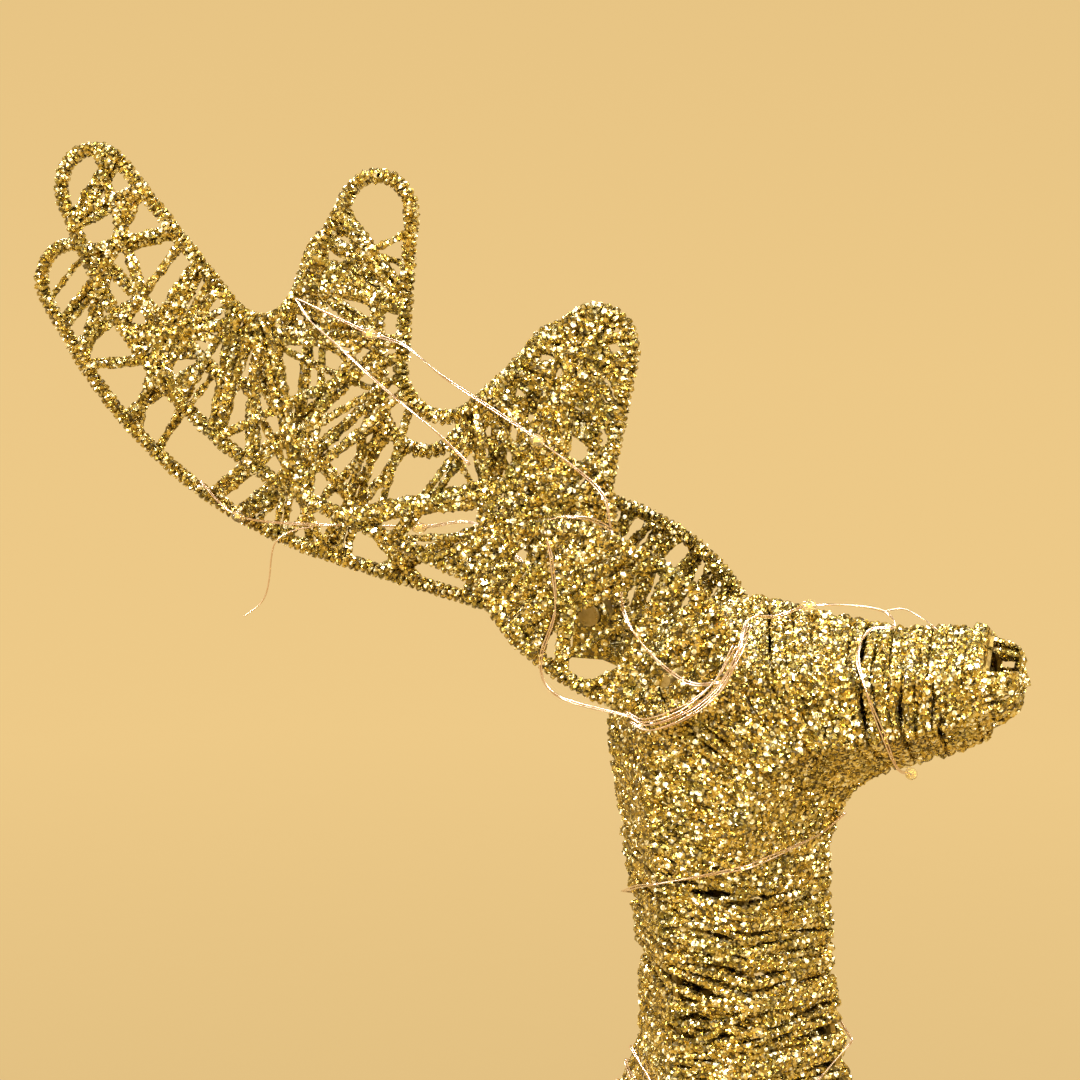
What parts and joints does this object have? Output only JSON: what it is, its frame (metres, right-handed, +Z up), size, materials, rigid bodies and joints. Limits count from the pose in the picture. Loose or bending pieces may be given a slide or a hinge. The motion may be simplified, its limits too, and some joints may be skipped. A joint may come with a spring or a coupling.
{
  "type": "light up reindeer figure",
  "caption": "Standing wire-frame reindeer wound with gold glitter thread and strung with micro lights; antlers tilt, legs fold, battery case in the belly.",
  "frame": {"origin": "bottom centre of the box round the standing figure, without the loose wire end", "axes": "+X towards the snout, +Y to the animal's left, +Z up"},
  "size_m": [0.3652, 0.0876, 0.6179],
  "materials": {
    "gold_thread": "gold glitter on a fine dark core thread",
    "frame_wire": "gold paint on steel wire",
    "plated_steel": "yellow zinc plate",
    "copper_wire": "clear-coated copper wire",
    "light_drop": "clear resin drop over a chip",
    "foot_rubber": "matte",
    "case_plastic": "fine moulded texture",
    "cell_sleeve": "plain shrink sleeve",
    "spring_steel": "nickel plate",
    "board": "solder mask",
    "switch_plastic": "smooth",
    "strap": "smooth"
  },
  "bodies": {
    "body": {"body_frame": "frame_wire", "body_skin": "gold_thread", "neck_frame": "frame_wire", "neck_skin": "gold_thread", "head_frame": "frame_wire", "head_skin": "gold_thread", "antler_right_bracket": "plated_steel", "antler_left_bracket": "plated_steel", "antler_pins": "plated_steel", "ear_right_rim": "gold_thread", "ear_right_web": "gold_thread", "ear_right_clip": "plated_steel", "ear_left_rim": "gold_thread", "ear_left_web": "gold_thread", "ear_left_clip": "plated_steel", "tail_rim": "gold_thread", "tail_web": "gold_thread", "tail_clip": "plated_steel", "front_leg_bracket": "plated_steel", "rear_leg_bracket": "plated_steel", "leg_pins": "plated_steel", "battery_case": "case_plastic", "battery_cells": "cell_sleeve", "cell_springs": "spring_steel", "cell_contacts": "spring_steel", "control_board": "board", "case_straps": "strap", "wire_head": "copper_wire", "wire_body": "copper_wire", "lights_head": "light_drop", "lights_body": "light_drop"},
    "antler_right": {"antler_right_hub": "plated_steel", "antler_right_rim": "gold_thread", "antler_right_web": "gold_thread", "wire_antler_right": "copper_wire", "lights_antler_right": "light_drop"},
    "antler_left": {"antler_left_hub": "plated_steel", "antler_left_rim": "gold_thread", "antler_left_web": "gold_thread", "wire_antler_left": "copper_wire", "wire_loose_end": "copper_wire", "lights_antler_left": "light_drop"},
    "leg_front_right": {"leg_front_right_hub": "plated_steel", "leg_front_right_frame": "frame_wire", "leg_front_right_skin": "gold_thread", "leg_front_right_foot": "foot_rubber"},
    "leg_front_left": {"leg_front_left_hub": "plated_steel", "leg_front_left_frame": "frame_wire", "leg_front_left_skin": "gold_thread", "leg_front_left_foot": "foot_rubber"},
    "leg_rear_right": {"leg_rear_right_hub": "plated_steel", "leg_rear_right_frame": "frame_wire", "leg_rear_right_skin": "gold_thread", "leg_rear_right_foot": "foot_rubber"},
    "leg_rear_left": {"leg_rear_left_hub": "plated_steel", "leg_rear_left_frame": "frame_wire", "leg_rear_left_skin": "gold_thread", "leg_rear_left_foot": "foot_rubber"},
    "battery_lid": {"battery_lid": "case_plastic"},
    "switch": {"switch_slider": "switch_plastic"}
  },
  "joints": [
    {"name": "antler_right_tilt", "type": "hinge", "parent": "body", "child": "antler_right", "pos_m": [0.084, -0.01, 0.51], "axis": [0, 1, 0], "range_deg": [-15, 10]},
    {"name": "antler_left_tilt", "type": "hinge", "parent": "body", "child": "antler_left", "pos_m": [0.078, 0.01, 0.5045], "axis": [0, 1, 0], "range_deg": [-7, 18]},
    {"name": "leg_front_right_fold", "type": "hinge", "parent": "body", "child": "leg_front_right", "pos_m": [0.1, -0.016, 0.251], "axis": [0, 1, 0], "range_deg": [0, 85]},
    {"name": "leg_front_left_fold", "type": "hinge", "parent": "body", "child": "leg_front_left", "pos_m": [0.1, 0.016, 0.251], "axis": [0, 1, 0], "range_deg": [0, 85]},
    {"name": "leg_rear_right_fold", "type": "hinge", "parent": "body", "child": "leg_rear_right", "pos_m": [-0.084, -0.032, 0.251], "axis": [0, -1, 0], "range_deg": [0, 85]},
    {"name": "leg_rear_left_fold", "type": "hinge", "parent": "body", "child": "leg_rear_left", "pos_m": [-0.084, 0.032, 0.251], "axis": [0, -1, 0], "range_deg": [0, 85]},
    {"name": "battery_lid_slide", "type": "slide", "parent": "body", "child": "battery_lid", "axis": [-1, 0, 0], "range_m": [0, 0.012]},
    {"name": "switch_slide", "type": "slide", "parent": "body", "child": "switch", "axis": [0, 1, 0], "range_m": [0, 0.0045]}
  ]
}
